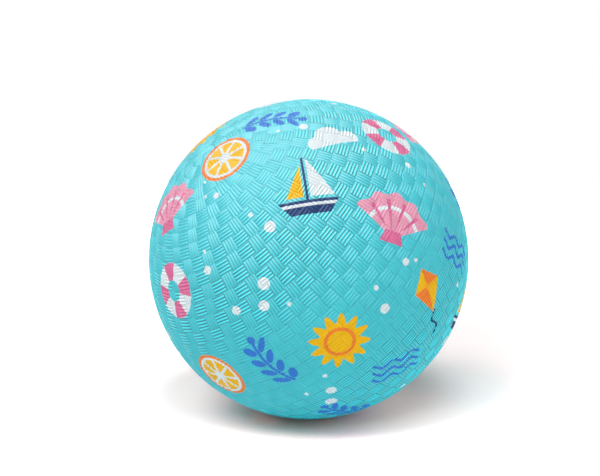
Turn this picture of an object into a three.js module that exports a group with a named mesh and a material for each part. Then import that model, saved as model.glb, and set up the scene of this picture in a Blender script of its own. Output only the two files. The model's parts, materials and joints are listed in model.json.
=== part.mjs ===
// Inflated rubber play ball: a moulded cover in two halves, an air-tight bladder inside it,
// and a needle valve through the wall. Every piece is turned about the valve's axis, +Y, and
// the whole ball is then rolled to the way it lies. Millimetres, origin at the ball's centre, +Z up.

import * as THREE from 'three';

// Ball and its two layers
const BALL_DIAMETER = 180;
const COVER_WALL = 1.4;
const BLADDER_WALL = 0.9;
const LAYER_GAP = 0.3;          // glue line between bonded layers

// Seam where the two cover halves meet, with edges pared to a slope
const SEAM_GAP = 0.3;
const SEAM_SLOPE = 1.0;         // how far the slope runs along the axis through the wall

// Smooth flat land that the cover has round the valve
const LAND_DIAMETER = 16;
const LAND_EDGE = 0.6;          // width of the sloped edge round the land
const VALVE_RECESS = 0.4;       // valve face below the land

// Valve housing
const BARREL_DIAMETER = 9;
const FLANGE_DIAMETER = 24;
const FLANGE_ROOT = 1.2;        // flange thickness at the barrel
const FLANGE_RIM = 0.5;         // flange thickness at its feathered edge
const STEM_DIAMETER = 10;
const STEM_LENGTH = 12;         // below the flange
const STEM_FLOOR = 1.5;         // wall under the core's bore
const STEM_TIP_DIAMETER = 7;
const STEM_TIP_TAPER = 2;       // length of the taper to the tip
const VENT_DIAMETER = 2;

// Valve core
const SHANK_DIAMETER = 4.6;
const HEAD_DIAMETER = 6.4;
const HEAD_THICKNESS = 1.2;
const CHANNEL_DIAMETER = 1.4;
const CHANNEL_MOUTH = 2.4;
const CHANNEL_MOUTH_DEPTH = 0.8;
const SEAL_LENGTH = 6;          // solid rubber below the channel, which closes behind the needle
const EDGE_ROUND = 0.3;         // broken edges of the small rubber pieces
const CORE_CLEARANCE = 0.2;     // all round the core in its housing

// The way the ball lies: its valve points behind it, to the right and down
const VALVE_TURN = 64;          // degrees from +Y towards +X
const VALVE_DIP = 45;           // degrees below the horizontal

// Facets
const SEGMENTS = 48;
const FACET_ANGLE = 2 * Math.PI / SEGMENTS;

// Radii of the nested layers, from the outside in
const ballRadius = BALL_DIAMETER / 2;
const coverInner = ballRadius - COVER_WALL;
const bladderOuter = coverInner - LAYER_GAP;
const bladderInner = bladderOuter - BLADDER_WALL;
const flangeTop = bladderInner - LAYER_GAP;

// Radii about the valve's axis
const barrelRadius = BARREL_DIAMETER / 2;
const wallHole = barrelRadius + LAYER_GAP;
const landRadius = LAND_DIAMETER / 2;
const flangeRadius = FLANGE_DIAMETER / 2;
const stemRadius = STEM_DIAMETER / 2;
const stemTipRadius = STEM_TIP_DIAMETER / 2;
const shankRadius = SHANK_DIAMETER / 2;
const headRadius = HEAD_DIAMETER / 2;
const channelRadius = CHANNEL_DIAMETER / 2;

// Heights along the valve's axis
const valveFace = ballRadius - VALVE_RECESS;
const headSeat = valveFace - HEAD_THICKNESS - CORE_CLEARANCE;
const stemRoot = flangeTop - FLANGE_ROOT;
const stemEnd = stemRoot - STEM_LENGTH;
const boreFloor = stemEnd + STEM_FLOOR;
const coreTip = boreFloor + CORE_CLEARANCE;

const at = (radius, height) => new THREE.Vector2(radius, height);

// Height of a sphere where it is `across` from the axis
const sphereHeight = (radius, across) => Math.sqrt(radius ** 2 - across ** 2);

// Angle from the +Y pole of a point on a sphere, by its distance from the axis or its height
const angleAcross = (radius, across) => Math.asin(across / radius);
const angleAtHeight = (radius, height) => Math.acos(height / radius);

// Points of a sphere's meridian between two angles from the +Y pole. The steps between the ends lie
// at whole facet angles, so that the facets of nested layers stay parallel.
function meridian(radius, from, to) {
  const angles = [from];
  const way = Math.sign(to - from);
  const ease = FACET_ANGLE / 10;
  const first = way > 0 ? Math.ceil((from + ease) / FACET_ANGLE) : Math.floor((from - ease) / FACET_ANGLE);
  for (let step = first; way * (to - step * FACET_ANGLE) > ease; step += way) {
    angles.push(step * FACET_ANGLE);
  }
  angles.push(to);
  return angles.map((angle) => at(radius * Math.abs(Math.sin(angle)), radius * Math.cos(angle)));
}

// A pole's own point, exactly on the axis
const pole = (height) => at(0, height);

function turned(name, profile, material) {
  const mesh = new THREE.Mesh(new THREE.LatheGeometry(profile, SEGMENTS), material);
  mesh.name = name;
  return mesh;
}

const rubber = (color, roughness) => new THREE.MeshStandardMaterial({ color, roughness, metalness: 0 });

const coverRubber = rubber(0x4fcbd6, 0.5);
const bladderRubber = rubber(0x26272a, 0.7);
const housingRubber = rubber(0xe9e7e0, 0.6);
const coreRubber = rubber(0x2f3136, 0.65);

// Height of the seam on a layer's surface: outside or inside edge of the slope, plain or valve half
const OUTSIDE = 1;
const INSIDE = -1;
const VALVE_SIDE = 1;
const PLAIN_SIDE = -1;
const seamHeight = (edge, side) => edge * SEAM_SLOPE / 2 + side * SEAM_GAP / 2;

function coverPlainHalf() {
  const outerEdge = angleAtHeight(ballRadius, seamHeight(OUTSIDE, PLAIN_SIDE));
  const innerEdge = angleAtHeight(coverInner, seamHeight(INSIDE, PLAIN_SIDE));
  const profile = [
    pole(-ballRadius),
    ...meridian(ballRadius, Math.PI, outerEdge).slice(1),
    ...meridian(coverInner, innerEdge, Math.PI).slice(0, -1),
    pole(-coverInner),
  ];
  return turned('cover_plain_half', profile, coverRubber);
}

function coverValveHalf() {
  const outerEdge = angleAtHeight(ballRadius, seamHeight(OUTSIDE, VALVE_SIDE));
  const innerEdge = angleAtHeight(coverInner, seamHeight(INSIDE, VALVE_SIDE));
  const landFoot = angleAcross(ballRadius, landRadius + LAND_EDGE);
  const profile = [
    ...meridian(ballRadius, outerEdge, landFoot),
    at(landRadius, ballRadius),
    at(wallHole, ballRadius),
    ...meridian(coverInner, angleAcross(coverInner, wallHole), innerEdge),
  ];
  profile.push(profile[0].clone());
  return turned('cover_valve_half', profile, coverRubber);
}

function bladder() {
  const profile = [
    pole(-bladderOuter),
    ...meridian(bladderOuter, Math.PI, angleAcross(bladderOuter, wallHole)).slice(1),
    ...meridian(bladderInner, angleAcross(bladderInner, wallHole), Math.PI).slice(0, -1),
    pole(-bladderInner),
  ];
  return turned('bladder', profile, bladderRubber);
}

function valveHousing() {
  const flangeEdge = angleAcross(flangeTop, flangeRadius);
  const ventRadius = VENT_DIAMETER / 2;
  const boreRadius = shankRadius + CORE_CLEARANCE;
  const headBore = headRadius + CORE_CLEARANCE;
  const profile = [
    at(ventRadius, stemEnd),
    at(stemTipRadius, stemEnd),
    at(stemRadius, stemEnd + STEM_TIP_TAPER),
    at(stemRadius, sphereHeight(flangeTop, stemRadius) - FLANGE_ROOT),
    at(flangeRadius, sphereHeight(flangeTop, flangeRadius) - FLANGE_RIM),
    ...meridian(flangeTop, flangeEdge, angleAcross(flangeTop, barrelRadius)),
    at(barrelRadius, valveFace - EDGE_ROUND),
    at(barrelRadius - EDGE_ROUND, valveFace),
    at(headBore, valveFace),
    at(headBore, headSeat),
    at(boreRadius, headSeat),
    at(boreRadius, boreFloor),
    at(ventRadius, boreFloor),
    at(ventRadius, stemEnd),
  ];
  return turned('valve_housing', profile, housingRubber);
}

function valveCore() {
  const headUnderside = valveFace - HEAD_THICKNESS;
  const channelEnd = coreTip + SEAL_LENGTH;
  const profile = [
    pole(coreTip),
    at(shankRadius - EDGE_ROUND, coreTip),
    at(shankRadius, coreTip + EDGE_ROUND),
    at(shankRadius, headUnderside),
    at(headRadius, headUnderside),
    at(headRadius, valveFace - EDGE_ROUND),
    at(headRadius - EDGE_ROUND, valveFace),
    at(CHANNEL_MOUTH / 2, valveFace),
    at(channelRadius, valveFace - CHANNEL_MOUTH_DEPTH),
    at(channelRadius, channelEnd),
    pole(channelEnd),
  ];
  return turned('valve_core', profile, coreRubber);
}

const ball = new THREE.Group();
ball.add(coverPlainHalf(), coverValveHalf(), bladder(), valveHousing(), valveCore());
ball.rotation.set(-THREE.MathUtils.degToRad(VALVE_DIP), 0, -THREE.MathUtils.degToRad(VALVE_TURN), 'ZXY');

export default ball;
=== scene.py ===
"""Inflated rubber play ball: a woven, printed cover in two halves over a bladder, with a needle valve."""

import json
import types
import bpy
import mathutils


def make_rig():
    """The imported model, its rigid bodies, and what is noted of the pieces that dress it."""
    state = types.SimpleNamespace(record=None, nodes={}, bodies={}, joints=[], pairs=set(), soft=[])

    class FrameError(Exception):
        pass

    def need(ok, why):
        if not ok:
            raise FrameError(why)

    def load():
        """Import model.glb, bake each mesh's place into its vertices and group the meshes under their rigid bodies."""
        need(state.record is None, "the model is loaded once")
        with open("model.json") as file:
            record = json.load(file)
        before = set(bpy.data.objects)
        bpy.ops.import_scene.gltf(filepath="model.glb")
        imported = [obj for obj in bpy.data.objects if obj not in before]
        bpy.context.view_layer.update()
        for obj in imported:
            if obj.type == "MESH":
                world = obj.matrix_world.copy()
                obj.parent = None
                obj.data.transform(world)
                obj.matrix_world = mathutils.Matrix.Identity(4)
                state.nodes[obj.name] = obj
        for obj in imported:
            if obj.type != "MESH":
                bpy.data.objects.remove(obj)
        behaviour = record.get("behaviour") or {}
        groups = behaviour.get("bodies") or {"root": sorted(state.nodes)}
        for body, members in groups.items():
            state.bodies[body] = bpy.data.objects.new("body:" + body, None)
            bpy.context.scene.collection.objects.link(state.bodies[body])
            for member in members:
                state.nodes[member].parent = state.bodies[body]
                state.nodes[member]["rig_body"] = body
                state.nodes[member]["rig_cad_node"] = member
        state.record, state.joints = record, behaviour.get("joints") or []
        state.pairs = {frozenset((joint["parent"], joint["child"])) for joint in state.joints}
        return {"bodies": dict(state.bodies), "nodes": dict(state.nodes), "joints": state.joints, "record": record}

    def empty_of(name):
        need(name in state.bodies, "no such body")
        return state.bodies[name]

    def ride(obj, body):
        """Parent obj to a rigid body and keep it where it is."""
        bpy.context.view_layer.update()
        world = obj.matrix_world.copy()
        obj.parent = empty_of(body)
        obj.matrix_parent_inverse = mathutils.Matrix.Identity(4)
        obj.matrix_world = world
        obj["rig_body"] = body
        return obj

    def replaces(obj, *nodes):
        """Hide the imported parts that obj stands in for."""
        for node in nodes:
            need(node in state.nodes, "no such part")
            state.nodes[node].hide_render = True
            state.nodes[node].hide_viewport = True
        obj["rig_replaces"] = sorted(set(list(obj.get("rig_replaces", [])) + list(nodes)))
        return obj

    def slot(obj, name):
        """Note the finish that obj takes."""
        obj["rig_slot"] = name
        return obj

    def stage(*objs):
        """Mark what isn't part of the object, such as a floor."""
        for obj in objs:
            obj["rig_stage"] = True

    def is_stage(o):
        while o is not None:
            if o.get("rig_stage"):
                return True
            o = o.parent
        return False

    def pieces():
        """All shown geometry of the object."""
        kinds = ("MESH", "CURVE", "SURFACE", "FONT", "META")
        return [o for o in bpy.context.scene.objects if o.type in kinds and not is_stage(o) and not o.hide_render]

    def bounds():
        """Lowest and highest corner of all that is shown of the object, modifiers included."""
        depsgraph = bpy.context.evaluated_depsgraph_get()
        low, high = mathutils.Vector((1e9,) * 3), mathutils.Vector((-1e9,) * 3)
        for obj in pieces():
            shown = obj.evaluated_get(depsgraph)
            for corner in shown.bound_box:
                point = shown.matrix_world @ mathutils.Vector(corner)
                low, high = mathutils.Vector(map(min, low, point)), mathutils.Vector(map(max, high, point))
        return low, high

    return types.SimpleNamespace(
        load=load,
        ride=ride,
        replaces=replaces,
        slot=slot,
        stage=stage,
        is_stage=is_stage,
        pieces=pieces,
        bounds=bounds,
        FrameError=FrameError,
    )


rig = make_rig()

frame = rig.load()
cad_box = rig.bounds()

import json
import random
from math import cos, degrees, pi, radians, sin, sqrt, tau

import bmesh
import bpy
from mathutils import Matrix, Vector

# Millimetres, apart from the stage. MM turns them into the frame's metres.
MM = 0.001

# Cover, and the layers inside it
BALL_RADIUS = 90.0
COVER_WALL = 1.4
BLADDER_WALL = 0.9
LAYER_GAP = 0.3
RIB_HEIGHT = 0.5
SKIN_RADIUS = BALL_RADIUS - RIB_HEIGHT
INNER_RADIUS = BALL_RADIUS - COVER_WALL
SEAM_GAP = 0.05

# Steps of the turned meshes: round the axis, along the skins' outlines and along a rounded corner.
# The land takes the place of LAND_STEPS. Edges that turn by over SHARP_ANGLE degrees stay sharp.
TURN_STEPS = 144
VALVE_STEPS = 72
OUTSIDE_STEPS = 36
INSIDE_STEPS = 12
LAND_STEPS = 2
EASE_STEPS = 4
SHARP_ANGLE = 40

# Weave: rows of cells about the valve's axis, in pairs of one cell ribbed along the row and one across it.
# A cell's ribs are longer than the cell is wide, as strands are that pass over their neighbours.
WEAVE_ROWS = 18
PAIR_LENGTH = 15.2
STRAND_SHARE = 0.555        # of a pair's length, for the ribs along the row
RIBS_PER_CELL = 4
RIB_REACH = 0.97            # of a strand's length
RIB_FILL = 0.98             # of the ribs' spacing
PHASE_JITTER = 0.16         # of a pair's length, either way
ROW_SWAY = 0.7
SWAY_SCALE = 4.5            # of the noise, on a ball of unit radius
WEAVE_SEED = 7

# Flat maps for baking, in a unit square: where the pole is, both ways, and how far off the seam is
RIB_MAP = (0.5, 0.475)
SKIN_MAP = (0.068, 0.062)
TINY = 1e-6                 # keeps a division off zero

# Valve, about its axis, with heights from the ball's centre
LAND_RADIUS = 8.0
LAND_EDGE = 0.6
LAND_BEVEL = (0.2, 0.1)     # width and drop
BARREL_RADIUS = 4.5
WALL_HOLE = BARREL_RADIUS + LAYER_GAP
HOLE_BEVEL = 0.3
VALVE_RECESS = 0.4
VALVE_FACE = BALL_RADIUS - VALVE_RECESS
FLANGE_RADIUS = 12.0
FLANGE_SPHERE = INNER_RADIUS - BLADDER_WALL - 2 * LAYER_GAP
FLANGE_ROOT = 1.2           # thickness at the stem
FLANGE_RIM = 0.5            # thickness at the edge
FLANGE_STEPS = (9.5, 7)     # radii of its points between edge and barrel
STEM_RADIUS = 5.0
STEM_LENGTH = 12.0
STEM_END = FLANGE_SPHERE - FLANGE_ROOT - STEM_LENGTH
STEM_TAPER = (1.5, 2)       # narrowing and length
STEM_FLOOR = 1.5            # wall under the core's bore
VENT_RADIUS = 1.0
CORE_CLEARANCE = 0.2
BORE_FLOOR = STEM_END + STEM_FLOOR
CORE_TIP = BORE_FLOOR + CORE_CLEARANCE
SHANK_RADIUS = 2.3
HEAD_RADIUS = 3.2
HEAD_THICKNESS = 1.2
UNDER_HEAD = VALVE_FACE - HEAD_THICKNESS
HEAD_SEAT = UNDER_HEAD - CORE_CLEARANCE
DISH_RADII = (1.9, 1.6)     # at the head's face and at the dish's floor
DISH_DEPTH = 0.15
FUNNEL_RADIUS = 1.2
FUNNEL_DEPTH = 0.8
CHANNEL_RADIUS = 0.7
SEAL_LENGTH = 6.0           # solid rubber below the channel
CHANNEL_END = CORE_TIP + SEAL_LENGTH

# Painted shade and highlight on the ribs: how dark the grooves are painted and how light the crests, of ribs along a
# row and of ribs across it, as factors of the cover's colour. They are strongest midway between pole and seam: they
# come in over TONE_RISE and go over TONE_FALL, in degrees from the pole. FAINTEST is the share that is left elsewhere.
# The bare skin between the ribs is painted darker likewise.
PAINTED_RIB_LIGHT = {"Along Groove": 0.4, "Along Crest": 1.7, "Across Groove": 0.74, "Across Crest": 1.18}
TONE_RISE = (25, 55)
TONE_FALL = (62, 82)
FAINTEST = 0.1
SKIN_PAINTED_SHADE = 0.85            # of the bare skin between the ribs
CROWN = (0.2, 0.85)         # from groove to crest, as shares of a rib's height

# Print. A motif is drawn about whichever of its places is within MOTIF_REACH, and FAR off where none is.
MOTIF_SCALE = 1.2
MOTIF_REACH = 30.0
FAR = 500.0
PRINT_EDGE = 0.3            # over which an ink's edge fades
# The ribs' painted shade and highlight show through the inks at INK_SHADE.
INK_SHADE = 0.5             # share of the ribs' tones that shows through the inks
RIPPLE = 0.62               # of waves and tails, in radians to a millimetre
RIPPLE_HEIGHT = 1.5
PRINT_SEED = 11

# Dots on the far sides, and how far they keep from the motifs' middles, from each other and, in degrees,
# from the valve. NEAR_SIDE is the cosine, off the camera's direction, where the near side ends.
DOT_COUNT = 60
DOT_TRIES = 20000
DOT_SIZES = (1.1, 1.3, 1.9, 2.6, 3.2)
DOT_OFF_MOTIF = 24
DOT_GAP = 4
DOT_OFF_VALVE = 14
NEAR_SIDE = 0.25

# Finish: the cover's least roughness and what grain adds, its gloss in grooves and what crests add, and the
# lightness its mottling runs between. Bloom makes the plain rubbers rougher.
ROUGHNESS, GRAIN_ROUGHNESS = 0.46, 0.14
GLOSS, CREST_GLOSS = 0.29, 0.07
MOTTLE = (0.94, 1.06)
BLOOM_ROUGHNESS = 0.16

# Stage, in metres. FILL is the world's light on surfaces. Each lamp is its azimuth, elevation, strength and
# width, with the angles in degrees.
FLOOR_REACH = 0.8
FILL = 0.4
LAMPS = {"key": (-46, 54, 1.74, 30), "right_fill": (60, 34, 0.85, 60), "back_fill": (150, 20, 0.5, 60)}
LAMP_DISTANCE = 2
CARD_PLACE = (-0.42, -0.35, 1.4)
CARD_SIDE = 2.6
CARD_RADIANCE = 5.6

# Painted shadow on the floor, to the camera: darker round the ball and lighter further off, so that the ball's shadow
# fades sooner, and warmer near the ball, against the ball's turquoise bounce. Its lightness: its least, and how it
# rises with the distance from two places on it. Each rise is x, y, the distances where it starts and ends, and the
# amount. The tint changes likewise.
PAINTED_SHADOW_LEAST = 0.04
PAINTED_SHADOW_RISES = [(0.104, 0.2, 0.0, 0.292, 1.01), (-0.009, 0.043, 0.069, 0.122, 0.9)]
TINT_RISE = (0.008, -0.003, 0, 0.11)
NEAR_TINT, FAR_TINT = (1.76, 1, 0.88, 1), (1.08, 1, 0.99, 1)
PAPER = (1.1, 1.1, 1.1, 1)  # what the floor is to other rays

# Camera: degrees above the ball, then in pixels the picture's width, the focal length and the lens's shift
# to the right and up, and the sensor's width in millimetres
CAMERA_RISE = 12
PHOTO_WIDTH = 600
FOCAL_LENGTH = 1771
LENS_SHIFT = (-8.65, 21.19)
SENSOR = 36


def srgb(red, green, blue):
    """Linear RGBA of an 8-bit colour."""
    channels = (value / 255 for value in (red, green, blue))
    return (*(c / 12.92 if c <= 0.04045 else ((c + 0.055) / 1.055) ** 2.4 for c in channels), 1.0)


TURQUOISE = srgb(48, 191, 203)
YELLOW = srgb(236, 184, 2)
ORANGE = srgb(236, 128, 44)
PINK = srgb(226, 156, 180)
ROSE = srgb(214, 108, 152)
ROYAL = srgb(52, 118, 206)
NAVY = srgb(14, 52, 104)
WHITE = srgb(218, 228, 232)
IVORY = srgb(226, 224, 216)
CHARCOAL = srgb(46, 48, 53)
GRAPHITE = srgb(40, 41, 44)


class Wire:
    """A node tree's output socket that takes part in Python arithmetic."""

    def __init__(self, tree, socket=None):
        self.tree, self.socket = tree, socket

    def node(self, kind, settings=None, sockets=None, out=0):
        """Adds a node, with its settings first and then its sockets by name or number.

        A list makes several links to one socket.
        """
        node = self.tree.nodes.new(kind)
        for name, value in (settings or {}).items():
            setattr(node, name, value)
        for key, value in (sockets or {}).items():
            for given in value if isinstance(value, list) else [value]:
                if isinstance(given, Wire):
                    self.tree.links.new(given.socket, node.inputs[key])
                else:
                    node.inputs[key].default_value = given
        return Wire(self.tree, node.outputs[out] if node.outputs else None)

    def beside(self, out):
        """Another output of the same node."""
        return Wire(self.tree, self.socket.node.outputs[out])

    def maths(self, operation, *values):
        return self.node("ShaderNodeMath", {"operation": operation}, dict(enumerate(values)))

    def vector(self, operation, *values, out=0):
        return self.node("ShaderNodeVectorMath", {"operation": operation}, dict(enumerate(values)), out)

    def __add__(self, other):
        return self.maths("ADD", self, other)

    def __radd__(self, other):
        return self.maths("ADD", other, self)

    def __sub__(self, other):
        return self.maths("SUBTRACT", self, other)

    def __rsub__(self, other):
        return self.maths("SUBTRACT", other, self)

    def __mul__(self, other):
        return self.maths("MULTIPLY", self, other)

    def __rmul__(self, other):
        return self.maths("MULTIPLY", other, self)

    def __truediv__(self, other):
        return self.maths("DIVIDE", self, other)

    def __rtruediv__(self, other):
        return self.maths("DIVIDE", other, self)

    def __mod__(self, other):
        return self.maths("FLOORED_MODULO", self, other)

    def __lt__(self, other):
        return self.maths("LESS_THAN", self, other)

    def __gt__(self, other):
        return self.maths("GREATER_THAN", self, other)

    def __neg__(self):
        return self.maths("MULTIPLY", self, -1)

    def __abs__(self):
        return self.maths("ABSOLUTE", self)

    def __round__(self):
        return self.maths("ROUND", self)

    def root(self):
        return self.maths("SQRT", self)

    def sine(self):
        return self.maths("SINE", self)

    def cosine(self):
        return self.maths("COSINE", self)

    def scaled(self, factor):
        """A vector times a number."""
        return self.node("ShaderNodeVectorMath", {"operation": "SCALE"}, {0: self, "Scale": factor})

    def parts(self):
        """The x, y and z of a vector."""
        split = self.node("ShaderNodeSeparateXYZ", sockets={0: self})
        return split, split.beside(1), split.beside(2)

    def paint(self, under, ink):
        """This coverage of ink over a colour."""
        return self.node("ShaderNodeMix", {"data_type": "RGBA"}, {0: self, 6: under, 7: ink}, out=2)

    def choose(self, otherwise, chosen):
        """One of two vectors, by this 0 or 1."""
        choices = {0: self, 4: otherwise, 5: chosen}
        return self.node("ShaderNodeMix", {"data_type": "VECTOR"}, choices, out=1)


def least(first, *others):
    for other in others:
        first = first.maths("MINIMUM", first, other)
    return first


def most(first, *others):
    for other in others:
        first = first.maths("MAXIMUM", first, other)
    return first


def towards(azimuth, elevation):
    """A direction from the ball's centre, in degrees. Azimuth 0 is to the camera and 90 to its right."""
    turn, rise = radians(azimuth), radians(elevation)
    return Vector((sin(turn) * cos(rise), -cos(turn) * cos(rise), sin(rise)))


valve_axis = Vector(frame["joints"][0]["axis"]).normalized()
camera_side = towards(0, CAMERA_RISE)


def pole_pose(pole):
    """Places a piece made about Z in millimetres, with Z along the pole and X nearest the camera."""
    across = (camera_side - camera_side.dot(pole) * pole).normalized()
    turn = Matrix((across, pole.cross(across), pole)).transposed()
    return turn.to_4x4() @ Matrix.Scale(MM, 4)


def turned(name, profile, steps=TURN_STEPS):
    """A closed mesh turned about Z from (radius, height) points. Radius 0 is a pole."""
    shape = bmesh.new()
    rings = []
    for radius, height in profile:
        angles = [tau * step / steps for step in range(steps)] if radius else [0]
        rings.append([shape.verts.new((radius * cos(a), radius * sin(a), height)) for a in angles])
    for ring, following in zip(rings, rings[1:] + rings[:1]):
        if len(ring) == len(following) == 1:
            continue
        for step in range(steps):
            after = (step + 1) % steps
            corners = [ring[step % len(ring)], ring[after % len(ring)],
                       following[after % len(following)], following[step % len(following)]]
            shape.faces.new(dict.fromkeys(corners))
    bmesh.ops.recalc_face_normals(shape, faces=shape.faces)
    mesh = bpy.data.meshes.new(name)
    shape.to_mesh(mesh)
    shape.free()
    mesh.shade_smooth()
    mesh.set_sharp_from_angle(angle=radians(SHARP_ANGLE))
    return mesh


def shown(name, mesh, body, slot, *nodes):
    """Adds a finished piece to the scene, on its body, in place of CAD nodes."""
    piece = bpy.data.objects.new(name, mesh)
    bpy.context.scene.collection.objects.link(piece)
    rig.ride(piece, body)
    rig.replaces(piece, *nodes)
    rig.slot(piece, slot)


def arc(radius, start, end, count):
    """(radius, height) points along a sphere's outline, by angle from the pole in degrees."""
    angles = [radians(start + (end - start) * step / count) for step in range(count + 1)]
    return [(radius * sin(a), radius * cos(a)) for a in angles]


def plain_skin():
    """The wall under the ribs of the half with no valve."""
    seam = degrees(SEAM_GAP / 2 / BALL_RADIUS)
    outside = arc(SKIN_RADIUS, 0, 90 - seam, OUTSIDE_STEPS)
    inside = arc(INNER_RADIUS, 90 - seam, 0, INSIDE_STEPS)
    return turned("plain_skin", [(0, SKIN_RADIUS)] + outside[1:] + inside[:-1] + [(0, INNER_RADIUS)])


def valve_skin():
    """The wall under the ribs of the half with the valve, with its flat land and hole."""
    seam = degrees(SEAM_GAP / 2 / BALL_RADIUS)
    land_foot = degrees((LAND_RADIUS + LAND_EDGE) / SKIN_RADIUS)
    hole = degrees(WALL_HOLE / INNER_RADIUS)
    outside = arc(SKIN_RADIUS, 90 - seam, land_foot, OUTSIDE_STEPS - LAND_STEPS)
    inside = arc(INNER_RADIUS, hole, 90 - seam, INSIDE_STEPS)
    bevel, drop = LAND_BEVEL
    land = [(LAND_RADIUS, BALL_RADIUS - drop), (LAND_RADIUS - bevel, BALL_RADIUS),
            (WALL_HOLE + HOLE_BEVEL, BALL_RADIUS), (WALL_HOLE, BALL_RADIUS - HOLE_BEVEL)]
    return turned("valve_skin", outside + land + inside)


def rib_block():
    """One closed rib of unit length, width and height, with its foot sunk into the skin.

    Its section is (across, rise) points. Each station along it gives the section's width and height.
    """
    section = [(-0.56, -0.12), (-0.3, 0.42), (0, 1), (0.3, 0.42), (0.56, -0.12)]
    stations = [(-0.5, 0.8, 0.25), (-0.45, 1, 1), (0, 1, 1), (0.45, 1, 1), (0.5, 0.8, 0.25)]
    shape = bmesh.new()
    rows = [[shape.verts.new((along, across * width, min(rise, rise * height)))
             for across, rise in section] for along, width, height in stations]
    for row, following in zip(rows, rows[1:]):
        for point in range(len(section)):
            after = (point + 1) % len(section)
            shape.faces.new((row[point], following[point], following[after], row[after]))
    for end in (rows[0], rows[-1]):
        shape.faces.new(end)
    bmesh.ops.recalc_face_normals(shape, faces=shape.faces)
    for edge in shape.edges:
        edge.smooth = max(vert.co.z for vert in edge.verts) > 0
    mesh = bpy.data.meshes.new("rib_block")
    shape.to_mesh(mesh)
    shape.free()
    mesh.shade_smooth()
    return bpy.data.objects.new("rib_block", mesh)


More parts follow.
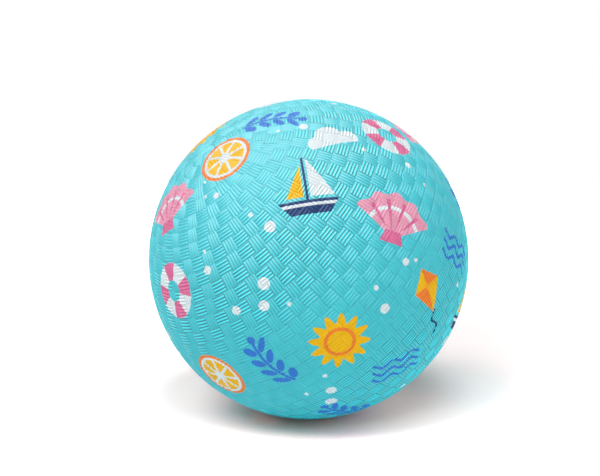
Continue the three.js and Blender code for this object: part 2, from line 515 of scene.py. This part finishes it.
def weave_tree():
    """Rows of ribbed cells, laid out flat row by row and then wrapped on the skin about its pole, Z."""
    tree = bpy.data.node_groups.new("woven_ribs", "GeometryNodeTree")
    kinds = {"Skin": "Geometry", "Rib": "Object", "Rows": "Int", "First Row": "Int",
             "Skin Radius": "Float", "Pair Length": "Float", "Strand Share": "Float", "Ribs": "Int",
             "Fill": "Float", "Height": "Float", "Jitter": "Float", "Sway": "Float", "Seed": "Int",
             "Material": "Material"}
    kinds.update(dict.fromkeys(PAINTED_RIB_LIGHT, "Float"))
    for name, kind in kinds.items():
        tree.interface.new_socket(name, in_out="INPUT", socket_type="NodeSocket" + kind)
    tree.interface.new_socket("Half", in_out="OUTPUT", socket_type="NodeSocketGeometry")
    entry = Wire(tree).node("NodeGroupInput")
    given = {name: entry.beside(name) for name in kinds}
    radius, ribs = given["Skin Radius"], given["Ribs"]
    row_turn = (pi / 2) / given["Rows"]
    row_width = row_turn * radius

    def stored(geometry, name, value):
        return entry.node("GeometryNodeStoreNamedAttribute", {"data_type": "FLOAT", "domain": "POINT"},
                          {"Geometry": geometry, "Name": name, "Value": value})

    def kept(name):
        return entry.node("GeometryNodeInputNamedAttribute", {"data_type": "FLOAT"}, {"Name": name})

    # One point for each row, then one for each pair of cells in it, then one for each rib of the pair.
    # Ribs lap over a row's edges, except in the row round the pole and the one at the seam.
    rows = entry.node("GeometryNodePoints", sockets={"Count": given["Rows"] - given["First Row"]})
    row = entry.node("GeometryNodeInputIndex") + given["First Row"]
    jitter = entry.node("FunctionNodeRandomValue", {"data_type": "FLOAT"},
                        {2: -given["Jitter"], 3: given["Jitter"], "ID": row, "Seed": given["Seed"]}, out=1)
    rows = stored(rows, "row_angle", (row + 0.5) * row_turn)
    rows = stored(rows, "row_phase", (row % 2) * 0.5 + jitter)
    rows = stored(rows, "row_lap", (row > 0.5) * (row < given["Rows"] - 1.5))
    row_angle = kept("row_angle")
    round_row = tau * radius * row_angle.sine()
    pairs_in_row = round(round_row / given["Pair Length"])
    pairs = entry.node("GeometryNodeDuplicateElements", {"domain": "POINT"},
                       {"Geometry": rows, "Amount": pairs_in_row})
    blocks = entry.node("GeometryNodeDuplicateElements", {"domain": "POINT"},
                        {"Geometry": pairs, "Amount": ribs * 2})
    pair, block = pairs.beside(1), blocks.beside(1)

    # A rib's place in its pair: the first cell's ribs run along the row, and the second's run across it and
    # over its edges
    across = block > ribs - 0.5
    place = (block - across * ribs + 0.5) / ribs - 0.5
    pair_length = round_row / pairs_in_row
    strand, gauge = given["Strand Share"], 1 - given["Strand Share"]
    over_edges = 1 + (2 * strand - 1) * kept("row_lap")
    along_width, across_width = row_width * 2 * gauge, pair_length * gauge
    x = (pair + kept("row_phase") + across * 0.5) * pair_length + across * place * across_width
    y = (pi / 2 - row_angle) * radius + (1 - across) * place * along_width
    length = pair_length * strand + across * (row_width * over_edges - pair_length * strand)
    width = (along_width + across * (across_width - along_width)) / ribs
    # Painted light on each rib: a darker groove and a lighter crest, strongest midway between pole and seam
    risen, fallen = (row_angle.node("ShaderNodeMapRange", {"interpolation_type": "SMOOTHSTEP"}, {
        0: row_angle, 1: radians(start), 2: radians(end)}) for start, end in (TONE_RISE, TONE_FALL))
    strength = FAINTEST + (1 - FAINTEST) * risen * (1 - fallen)
    for part in ("Groove", "Crest"):
        along_tone, across_tone = given["Along " + part], given["Across " + part]
        tone = along_tone + across * (across_tone - along_tone)
        blocks = stored(blocks, part.lower() + "_tone", 1 + (tone - 1) * strength)
    blocks = entry.node("GeometryNodeSetPosition", sockets={
        "Geometry": blocks, "Position": entry.node("ShaderNodeCombineXYZ", sockets={0: x, 1: y})})
    rib = entry.node("GeometryNodeObjectInfo", sockets={"Object": given["Rib"], "As Instance": True}, out=4)
    laid = entry.node("GeometryNodeInstanceOnPoints", sockets={
        "Points": blocks, "Instance": rib,
        "Rotation": entry.node("ShaderNodeCombineXYZ", sockets={2: across * (pi / 2)}),
        "Scale": entry.node("ShaderNodeCombineXYZ", sockets={
            0: length * RIB_REACH, 1: width * given["Fill"], 2: given["Height"]})})
    laid = entry.node("GeometryNodeRealizeInstances", sockets={"Geometry": laid})

    # Wrap the flat rows: x turns about the pole, y is the latitude and z stands on the skin.
    # The rows sway a little.
    flat_x, flat_y, flat_z = entry.node("GeometryNodeInputPosition").parts()
    turn = flat_x / (radius * kept("row_angle").sine())
    rise = flat_y / radius
    way = entry.node("ShaderNodeCombineXYZ", sockets={
        0: rise.cosine() * turn.cosine(), 1: rise.cosine() * turn.sine(), 2: rise.sine()})
    drift = way.node("ShaderNodeTexNoise",
                     sockets={"Vector": way, "Scale": SWAY_SCALE, "Detail": 1.0}, out=1)
    drift = drift.vector("SUBTRACT", drift, (0.5, 0.5, 0.5)).scaled(given["Sway"] * 2 / radius)
    way = way.vector("NORMALIZE", way.vector("ADD", way, drift))
    laid = entry.node("GeometryNodeSetPosition",
                      sockets={"Geometry": laid, "Position": way.scaled(radius + flat_z)})

    # Flat maps spread from the pole: a wide one for the ribs and a small one in its corner for the skin
    spot = entry.node("GeometryNodeInputPosition")
    unit = spot.vector("NORMALIZE", spot)
    map_x, map_y, map_z = unit.parts()
    off_pole = map_z.maths("ARCCOSINE", map_z)
    spread = off_pole / most(off_pole.sine(), TINY)

    def mapped(geometry, middle, reach):
        scale = spread * (reach / (pi / 2))
        places = entry.node("ShaderNodeCombineXYZ", sockets={
            0: map_x * scale + middle, 1: map_y * scale + middle})
        return entry.node("GeometryNodeStoreNamedAttribute", {"data_type": "FLOAT2", "domain": "CORNER"},
                          {"Geometry": geometry, "Name": "OFBake", "Value": places})

    # The bare skin in the grooves is painted darker, and the land keeps its colour
    skin = stored(stored(given["Skin"], "groove_tone", SKIN_PAINTED_SHADE), "crest_tone", 1.0)
    half = entry.node("GeometryNodeJoinGeometry",
                      sockets={0: [mapped(laid, *RIB_MAP), mapped(skin, *SKIN_MAP)]})
    for name in ("row_angle", "row_phase", "row_lap"):
        half = entry.node("GeometryNodeRemoveAttribute", sockets={"Geometry": half, "Name": name})
    half = entry.node("GeometryNodeRealizeInstances", sockets={"Geometry": half})
    half = entry.node("GeometryNodeSetMaterial", sockets={"Geometry": half, "Material": given["Material"]})
    entry.node("NodeGroupOutput", sockets={0: half})
    return tree


def eased(*corners):
    """A closed outline of (radius, height, ease) corners, each rounded off over its ease."""
    outline = []
    for before, corner, after in zip(corners[-1:] + corners, corners, corners[1:] + corners[:1]):
        *point, ease = corner
        point = Vector(point)
        start = point + (Vector(before[:2]) - point).normalized() * ease
        end = point + (Vector(after[:2]) - point).normalized() * ease
        for part in (step / EASE_STEPS for step in range(EASE_STEPS + 1 if ease else 1)):
            outline.append(tuple(start.lerp(point, part).lerp(point.lerp(end, part), part)))
    return outline


def valve_housing():
    """Barrel through the wall, feathered flange under the bladder and stem with the core's bore."""
    def under_bladder(radius):
        return sqrt(FLANGE_SPHERE ** 2 - radius ** 2)

    head_bore, bore = HEAD_RADIUS + CORE_CLEARANCE, SHANK_RADIUS + CORE_CLEARANCE
    narrowing, taper = STEM_TAPER
    return turned("needle_valve_housing", eased(
        (VENT_RADIUS, STEM_END, 0.2), (STEM_RADIUS - narrowing, STEM_END, 0.5),
        (STEM_RADIUS, STEM_END + taper, 0.6), (STEM_RADIUS, under_bladder(STEM_RADIUS) - FLANGE_ROOT, 0.8),
        (FLANGE_RADIUS, under_bladder(FLANGE_RADIUS) - FLANGE_RIM, 0.2),
        (FLANGE_RADIUS, under_bladder(FLANGE_RADIUS), 0.2),
        *((radius, under_bladder(radius), 0.5) for radius in FLANGE_STEPS),
        (BARREL_RADIUS, under_bladder(BARREL_RADIUS), 0.5), (BARREL_RADIUS, VALVE_FACE, 0.35),
        (head_bore, VALVE_FACE, 0.15), (head_bore, HEAD_SEAT, 0.1), (bore, HEAD_SEAT, 0.1),
        (bore, BORE_FLOOR, 0.2), (VENT_RADIUS, BORE_FLOOR, 0.2)), VALVE_STEPS)


def valve_core():
    """Plug with a dished head, a funnel for the needle and a channel that ends in solid rubber."""
    dish_floor = VALVE_FACE - DISH_DEPTH
    dish_rim, dish_foot = DISH_RADII
    return turned("needle_valve_core", eased(
        (0, CORE_TIP, 0), (SHANK_RADIUS, CORE_TIP, 0.5), (SHANK_RADIUS, UNDER_HEAD, 0.15),
        (HEAD_RADIUS, UNDER_HEAD, 0.2), (HEAD_RADIUS, VALVE_FACE, 0.35), (dish_rim, VALVE_FACE, 0.2),
        (dish_foot, dish_floor, 0.15), (FUNNEL_RADIUS, dish_floor, 0.2),
        (CHANNEL_RADIUS, VALVE_FACE - FUNNEL_DEPTH, 0.3), (CHANNEL_RADIUS, CHANNEL_END, 0.2),
        (0, CHANNEL_END, 0)), VALVE_STEPS)


def woven_half(name, skin, rib, tree, rubber, pole, first_row):
    """A cover half: its skin with the weave's ribs on it, as a plain mesh in the frame."""
    holder = bpy.data.objects.new(name, skin)
    bpy.context.scene.collection.objects.link(holder)
    weave = holder.modifiers.new("weave", "NODES")
    weave.node_group = tree
    sizes = {"Rib": rib, "Rows": WEAVE_ROWS, "First Row": first_row, "Skin Radius": SKIN_RADIUS,
             "Pair Length": PAIR_LENGTH, "Strand Share": STRAND_SHARE, "Ribs": RIBS_PER_CELL,
             "Fill": RIB_FILL, "Height": RIB_HEIGHT, "Jitter": PHASE_JITTER, "Sway": ROW_SWAY,
             "Seed": WEAVE_SEED + first_row, "Material": rubber, **PAINTED_RIB_LIGHT}
    for item in tree.interface.items_tree:
        if item.in_out == "INPUT" and item.name in sizes:
            weave[item.identifier] = sizes[item.name]
    graph = bpy.context.evaluated_depsgraph_get()
    mesh = bpy.data.meshes.new_from_object(holder.evaluated_get(graph), depsgraph=graph)
    mesh.name = name
    bpy.data.objects.remove(holder)
    mesh.transform(pole_pose(pole))
    return mesh


# Printed motifs, in millimetres on the flat about their middles. Each gives (signed distance, ink) layers.
def polar(spot, middle=(0, 0, 0)):
    """Distance from a point and angle round it from straight up."""
    u, v, _ = spot.vector("SUBTRACT", spot, middle).parts()
    return spot.vector("DISTANCE", spot, middle, out=1), u.maths("ARCTAN2", u, v)


def side(spot, start, end):
    """Distance to the right of the line from start to end."""
    run, rise = end[0] - start[0], end[1] - start[1]
    normal = Vector((rise, -run, 0)).normalized()
    return spot.vector("DOT_PRODUCT", spot, normal, out=1) - normal.dot((*start, 0))


def polygon(spot, *corners):
    """Convex outline with its corners in anticlockwise order."""
    return most(*(side(spot, a, b) for a, b in zip(corners, corners[1:] + corners[:1])))


def disc(spot, x, y, radius):
    return spot.vector("DISTANCE", spot, (x, y, 0), out=1) - radius


def scallop_shell(spot):
    hinge_drop, spread, rim = 11, radians(60), 21
    flute_turns, flute_depth = 13, 0.9
    groove_inset, groove_share, groove_scale = 2.2, 0.75, 9
    band_middle, band_half = 14, 0.9
    reach, angle = polar(spot, (0, -hinge_drop, 0))
    flutes = (angle * flute_turns).cosine()
    u, v, _ = spot.parts()
    sides = abs(u) * cos(spread) - (v + hinge_drop) * sin(spread)
    fan = most(reach - rim - flutes * flute_depth, sides)
    grooves = most(fan + groove_inset, (flutes + groove_share) * reach / groove_scale)
    band = most(fan, abs(reach - band_middle) - band_half)
    foot = polygon(spot, (-6, -13), (6, -13), (4, -7.5), (-4, -7.5))
    return [(fan, PINK), (band, WHITE), (grooves, ROSE), (foot, ROSE)]


def sailing_boat(spot):
    stripe_drop, stripe_half = 8.6, 0.7
    hull = polygon(spot, (-8.5, -13), (9, -13), (13.5, -6.5), (-13.5, -6.5))
    stripe = most(hull, abs(spot.parts()[1] + stripe_drop) - stripe_half)
    mast = polygon(spot, (-0.8, -7), (0.3, -7), (0.3, 15), (-0.8, 15))
    main_sail = polygon(spot, (1.3, -5), (12, -5), (1.3, 14.5))
    jib = polygon(spot, (-9.5, -5), (-1.8, -5), (-1.8, 10.5))
    return [(mast, NAVY), (main_sail, WHITE), (jib, YELLOW), (hull, NAVY), (stripe, WHITE)]


def sun_disc(spot):
    ray_reach, ray_count, ray_height = 11.6, 12, 2.3
    ring_outside, ring_inside = 7.2, 5.6
    reach, angle = polar(spot)
    rays = reach - ray_reach - (angle * ray_count).cosine() * ray_height
    return [(rays, YELLOW), (reach - ring_outside, ORANGE), (reach - ring_inside, YELLOW)]


def leaf_sprig(spot):
    curve, stem_half, stem_reach = 0.014, 0.75, 13.5
    leaf_out, leaf_spacing, leaf_place, leaf_reach = 3.8, 6.5, 3.4, 13
    leaf_length, leaf_width, leaf_scale = 5.2, 2.5, 1.8
    u, v, _ = spot.parts()
    bend = u - v * v * curve
    stem = most(abs(bend) - stem_half, abs(v) - stem_reach)
    out, along = abs(bend) - leaf_out, (v + leaf_reach) % leaf_spacing - leaf_place
    tip, flank = (out + along) / leaf_length, (along - out) / leaf_width
    leaves = most(((tip * tip + flank * flank).root() - 1) * leaf_scale, abs(v) - leaf_reach)
    bud = disc(spot, 2.7, 14.2, 1.9)
    return [(least(stem, leaves, bud), ROYAL)]


def citrus_slice(spot):
    rind, pith, flesh, core = 12.6, 11, 9.6, 1.2
    wall_pairs, wall_half = 4, 0.65
    reach, angle = polar(spot)
    walls = abs((angle * wall_pairs).sine()) * reach / wall_pairs
    segments = most(reach - flesh, wall_half - walls, core - reach)
    return [(reach - rind, ORANGE), (reach - pith, WHITE), (segments, YELLOW)]


def float_ring(spot):
    ring_middle, ring_half = 8.8, 3.9
    band_count, band_narrowing = 4, 0.05
    reach, angle = polar(spot)
    ring = abs(reach - ring_middle) - ring_half
    bands = (band_narrowing - (angle * band_count).cosine()) * reach / band_count
    return [(ring, WHITE), (most(ring, bands), ROSE)]


def small_cloud(spot):
    base_drop = 3.6
    puffs = least(disc(spot, -7.4, -1, 4.6), disc(spot, -0.6, 2.4, 6.4), disc(spot, 7.2, -0.8, 4.8))
    return [(most(puffs, -spot.parts()[1] - base_drop), WHITE)]


def paper_kite(spot):
    half_width, shoulder, quarter_scale = 8, 5, 0.1
    tail_drop, tail_reach, tail_half = 15, 6.5, 0.6
    u, v, _ = spot.parts()
    sail = polygon(spot, (0, -9), (half_width, shoulder), (0, 14), (-half_width, shoulder))
    tail = most(abs(u - (v * RIPPLE).sine() * RIPPLE_HEIGHT) - tail_half, abs(v + tail_drop) - tail_reach)
    quarters = most(sail, u * (shoulder - v) * quarter_scale)
    return [(tail, NAVY), (sail, YELLOW), (quarters, ORANGE)]


def three_waves(spot):
    spacing, line_half, reach_across, reach_up = 5, 0.95, 12.5, 6.6
    u, v, _ = spot.parts()
    crest = (v + (u * RIPPLE).sine() * RIPPLE_HEIGHT + spacing * 1.5) % spacing - spacing / 2
    return [(most(abs(crest) - line_half, abs(u) - reach_across, abs(v) - reach_up), ROYAL)]


# Where each motif is printed: azimuth, elevation and turn, in degrees
MOTIF_PLACES = {
    scallop_shell: [(34, 25, -24), (-67, 24, 32), (150, 14, 20), (-152, -24, -30), (100, 52, 0)],
    sailing_boat: [(-1, 37, 9), (80, -14, -16), (-108, 14, 12), (-178, -4, -8), (-166, 52, 20)],
    sun_disc: [(11, -17, 0), (-96, 50, 0), (124, 28, 0), (-128, -10, 0)],
    leaf_sprig: [(-15, -27, 40), (-36, 68, -60), (24, -58, 70), (88, 20, 24), (-170, 26, -34),
                 (140, -66, 60)],
    citrus_slice: [(-46, 46, 10), (-41, -36, 0), (150, 60, 0), (-88, -20, 0), (164, -32, 0)],
    float_ring: [(-54, -4, 20), (58, 56, 0), (-140, 24, 0), (-138, -60, 0)],
    small_cloud: [(15, 57, 12), (-62, -72, 0), (-124, 76, 0), (-130, 48, 8), (86, -40, -10)],
    paper_kite: [(46, -4, 24), (-112, -38, -30), (126, -12, 18)],
    three_waves: [(38, -31, 20), (64, 8, -34), (-78, -48, 10), (-176, -54, 0), (101, -1, 12),
                  (78, -70, 30)],
}

# Dots on the near side: azimuth and elevation in degrees, and radius
NEAR_DOTS = [
    (-4, 64, 2.4), (-22, 61, 1.1), (31, 51, 1.3), (53, 42, 2.0), (56, 33.5, 1.1), (-39.5, 31.5, 1.8),
    (-45, 30.5, 1.1), (-49, 35.5, 0.9), (-22, 26, 1.3), (-14, 22.5, 3.1), (-38.5, 12, 1.0), (-36.5, 6, 2.4),
    (-15, 3.5, 3.4), (-15, -4, 2.9), (-6.5, -3, 1.3), (-25, -6.5, 2.5), (35, 9, 2.1), (39.5, 9, 1.1),
    (23, 1.5, 1.4), (26.5, -6, 2.8), (65, -4, 1.4), (6.5, -31.5, 1.3), (10, -39.5, 3.0), (11.5, -47, 3.4),
    (-1, -41.5, 1.3),
]


def all_dots():
    """The near side's dots, and others over the rest of the ball, clear of the motifs and the valve."""
    chance = random.Random(PRINT_SEED)
    middles = [towards(azimuth, elevation)
               for places in MOTIF_PLACES.values() for azimuth, elevation, _ in places]
    near = [(towards(azimuth, elevation), size) for azimuth, elevation, size in NEAR_DOTS]
    dots = list(near)
    tries = 0
    while len(dots) < len(near) + DOT_COUNT and tries < DOT_TRIES:
        tries += 1
        way = Vector([chance.gauss(0, 1) for _ in range(3)]).normalized()
        size = chance.choice(DOT_SIZES)
        clear = (way.dot(camera_side) < NEAR_SIDE and way.dot(valve_axis) < cos(radians(DOT_OFF_VALVE))
                 and all(way.angle(middle) * BALL_RADIUS > DOT_OFF_MOTIF for middle in middles)
                 and all(way.angle(other) * BALL_RADIUS > DOT_GAP + size + wide for other, wide in dots))
        if clear:
            dots.append((way, size))
    return dots


def blank_material(name):
    """A material with no nodes yet, and a wire to add them by."""
    material = bpy.data.materials.new(name)
    material.use_nodes = True
    material.node_tree.nodes.clear()
    return material, Wire(material.node_tree)


def printed_cover():
    """Satin rubber of the cover, with the print running over ribs and grooves alike, and painted shade in the grooves
    and painted highlight on the crests.
    """
    cover, start = blank_material("printed_cover_rubber")
    place = start.node("ShaderNodeTexCoord", out=3)
    ball = place.vector("NORMALIZE", place).scaled(BALL_RADIUS)

    def ink_cover(distance):
        return distance.node("ShaderNodeMapRange", sockets={
            0: distance, 1: -PRINT_EDGE / 2, 2: PRINT_EDGE / 2, 3: 1.0, 4: 0.0})

    mottle = ball.node("ShaderNodeTexNoise", sockets={"Vector": ball, "Scale": 0.06, "Detail": 4.0})
    colour = mottle.paint(*(tuple(c * lightness for c in TURQUOISE) for lightness in MOTTLE))
    proud = (place.vector("LENGTH", place, out=1) / MM - SKIN_RADIUS) / RIB_HEIGHT
    crown = proud.node("ShaderNodeMapRange", sockets={0: proud, 1: CROWN[0], 2: CROWN[1]})
    groove, crest = (start.node("ShaderNodeAttribute", {"attribute_name": name}, out="Fac")
                     for name in ("groove_tone", "crest_tone"))
    # Painted shade in the grooves and painted highlight on the crests, by each spot's height on its rib
    shade = groove + crown * (crest - groove)

    covers = []
    for draw, places in MOTIF_PLACES.items():
        spot = (FAR, FAR, 0)
        for azimuth, elevation, turn in places:
            middle = towards(azimuth, elevation)
            level = Vector((cos(radians(azimuth)), sin(radians(azimuth)), 0))
            right = level * cos(radians(turn)) + middle.cross(level) * sin(radians(turn))
            upright = Matrix((right, middle.cross(right), middle)).to_euler()
            local = ball.node("ShaderNodeMapping", sockets={
                "Vector": ball, "Rotation": upright, "Scale": (1 / MOTIF_SCALE,) * 3})
            near = ball.vector("DISTANCE", ball, middle * BALL_RADIUS, out=1) < MOTIF_REACH
            spot = near.choose(spot, local)
        flat = spot.vector("MULTIPLY", spot, (1, 1, 0))
        for distance, ink in draw(flat):
            covers.append(ink_cover(distance))
            colour = covers[-1].paint(colour, ink)
    gaps = [ball.vector("DISTANCE", ball, way * BALL_RADIUS, out=1) - size for way, size in all_dots()]
    covers.append(ink_cover(least(*gaps)))
    colour = covers[-1].paint(colour, WHITE)
    inked = most(*covers)
    # The painted shade and highlight go over the bare rubber in full and over the inks at INK_SHADE
    colour = colour.scaled(1 + (shade - 1) * (1 - inked * (1 - INK_SHADE)))

    grain = ball.node("ShaderNodeTexNoise", sockets={"Vector": ball, "Scale": 2.2, "Detail": 3.0})
    bump = grain.node("ShaderNodeBump", sockets={"Strength": 0.1, "Distance": 0.05 * MM, "Height": grain})
    rubber = start.node("ShaderNodeBsdfPrincipled", sockets={
        "Base Color": colour, "Roughness": grain * GRAIN_ROUGHNESS + ROUGHNESS, "Normal": bump,
        "Specular IOR Level": 0.2, "Coat Weight": (1 - inked) * (crown * CREST_GLOSS + GLOSS),
        "Coat Roughness": 0.6, "Coat IOR": 2.0})
    start.node("ShaderNodeOutputMaterial", sockets={"Surface": rubber})
    return cover


def moulded_rubber(name, colour, roughness, bloom):
    """Plain moulded rubber with a faint bloom and a fine grain."""
    material, start = blank_material(name)
    place = start.node("ShaderNodeTexCoord", out=3)
    clouds = place.node("ShaderNodeTexNoise", sockets={"Vector": place, "Scale": 220.0, "Detail": 5.0})
    pale = tuple(c + (1 - c) * bloom for c in colour)
    grain = place.node("ShaderNodeTexNoise", sockets={"Vector": place, "Scale": 2600.0, "Detail": 2.0})
    bump = grain.node("ShaderNodeBump", sockets={"Strength": 0.15, "Distance": 0.05 * MM, "Height": grain})
    rubber = start.node("ShaderNodeBsdfPrincipled", sockets={
        "Base Color": clouds.paint(colour, pale), "Roughness": clouds * BLOOM_ROUGHNESS + roughness,
        "Normal": bump})
    start.node("ShaderNodeOutputMaterial", sockets={"Surface": rubber})
    return material


cover_rubber = printed_cover()
rib = rib_block()
weave = weave_tree()
# The land takes the place of the valve half's first row
for name, skin, pole, first_row, node in (
        ("woven_plain_half", plain_skin(), -valve_axis, 0, "cover_plain_half"),
        ("woven_valve_half", valve_skin(), valve_axis, 1, "cover_valve_half")):
    half = woven_half(name, skin, rib, weave, cover_rubber, pole, first_row)
    shown(name, half, "ball", "cover_rubber", node)
bpy.data.objects.remove(rib)

for mesh, rubber, body, slot, node in (
        (valve_housing(), moulded_rubber("housing_rubber", IVORY, roughness=0.5, bloom=0.15),
         "ball", "housing_rubber", "valve_housing"),
        (valve_core(), moulded_rubber("core_rubber", CHARCOAL, roughness=0.5, bloom=0.08),
         "valve_plug", "core_rubber", "valve_core")):
    mesh.transform(pole_pose(valve_axis))
    mesh.materials.append(rubber)
    shown(mesh.name, mesh, body, slot, node)

inner = frame["nodes"]["bladder"].data
inner.materials.clear()
inner.materials.append(moulded_rubber("bladder_rubber", GRAPHITE, roughness=0.62, bloom=0.1))


def seen_rays(start):
    """1 for what the camera sees, straight or in gloss or glass."""
    ray = start.node("ShaderNodeLightPath")
    return most(ray, ray.beside("Is Glossy Ray"), ray.beside("Is Transmission Ray"))


def white_paper():
    """White floor, clear from below. To the camera its colour is painted darker and warmer round the ball and lighter
    further off, which reshapes the ball's shadow and cancels the ball's turquoise bounce on it.
    """
    paper, start = blank_material("white_paper")
    spot = start.node("ShaderNodeTexCoord", out=3)

    def beyond(x, y, near, far):
        off = spot.vector("DISTANCE", spot, (x, y, -BALL_RADIUS * MM), out=1)
        return off.node("ShaderNodeMapRange", {"interpolation_type": "SMOOTHSTEP"},
                        {0: off, 1: near, 2: far})

    # Painted shadow: the floor is darker and warmer near the ball and lighter further off
    tint = beyond(*TINT_RISE).paint(NEAR_TINT, FAR_TINT)
    lightness = PAINTED_SHADOW_LEAST
    for x, y, near, far, amount in PAINTED_SHADOW_RISES:
        lightness = lightness + amount * beyond(x, y, near, far)
    seen = tint.scaled(lightness)
    matt = start.node("ShaderNodeBsdfDiffuse", sockets={
        "Color": start.node("ShaderNodeLightPath").paint(PAPER, seen)})
    underneath = start.node("ShaderNodeNewGeometry", out="Backfacing")
    clear = start.node("ShaderNodeBsdfTransparent")
    sheet = start.node("ShaderNodeMixShader", sockets={0: underneath, 1: matt, 2: clear})
    start.node("ShaderNodeOutputMaterial", sockets={"Surface": sheet})
    return paper


def studio():
    """White floor and world, three soft lamps, and a card overhead that shows in gloss alone."""
    scene = bpy.context.scene
    floor_mesh = bpy.data.meshes.new("studio_floor")
    corners = [(-1, -1), (1, -1), (1, 1), (-1, 1)]
    places = [(x * FLOOR_REACH, y * FLOOR_REACH, -BALL_RADIUS * MM) for x, y in corners]
    floor_mesh.from_pydata(places, [], [(0, 1, 2, 3)])
    floor_mesh.materials.append(white_paper())
    floor = bpy.data.objects.new("studio_floor", floor_mesh)
    scene.collection.objects.link(floor)
    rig.stage(floor)

    world = scene.world = bpy.data.worlds.new("studio")
    world.use_nodes = True
    world.node_tree.nodes.clear()
    start = Wire(world.node_tree)
    strength = seen_rays(start) * (1 - FILL) + FILL
    light = start.node("ShaderNodeBackground", sockets={"Color": (1, 1, 1, 1), "Strength": strength})
    start.node("ShaderNodeOutputWorld", sockets={"Surface": light})

    def placed(light, location):
        lamp = bpy.data.objects.new(light.name, light)
        lamp.location = location
        lamp.rotation_euler = (-lamp.location).to_track_quat("-Z", "Y").to_euler()
        scene.collection.objects.link(lamp)
        return lamp

    for name, (azimuth, elevation, strength, width) in LAMPS.items():
        soft = bpy.data.lights.new(name, "SUN")
        soft.energy, soft.angle = strength, radians(width)
        placed(soft, towards(azimuth, elevation) * LAMP_DISTANCE).visible_glossy = name == "key"
    sheen = bpy.data.lights.new("sheen_card", "AREA")
    sheen.shape, sheen.size = "SQUARE", CARD_SIDE
    sheen.energy = CARD_RADIANCE * pi * CARD_SIDE ** 2
    placed(sheen, CARD_PLACE).visible_diffuse = False


def camera():
    """The photograph's view, 1 m from the ball's centre, with the ball right of and below the middle."""
    lens = bpy.data.cameras.new("camera")
    lens.sensor_width, lens.lens = SENSOR, FOCAL_LENGTH / PHOTO_WIDTH * SENSOR
    lens.shift_x, lens.shift_y = (shift / PHOTO_WIDTH for shift in LENS_SHIFT)
    view = bpy.data.objects.new("camera", lens)
    view.location = camera_side
    view.rotation_euler = (-camera_side).to_track_quat("-Z", "Y").to_euler()
    bpy.context.scene.collection.objects.link(view)
    bpy.context.scene.camera = view


studio()
camera()
bpy.context.scene.view_settings.view_transform = "Standard"

with open("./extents.json", "w") as sizes:
    json.dump({"cad": [list(corner) for corner in cad_box], "visual": [list(corner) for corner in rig.bounds()]}, sizes)
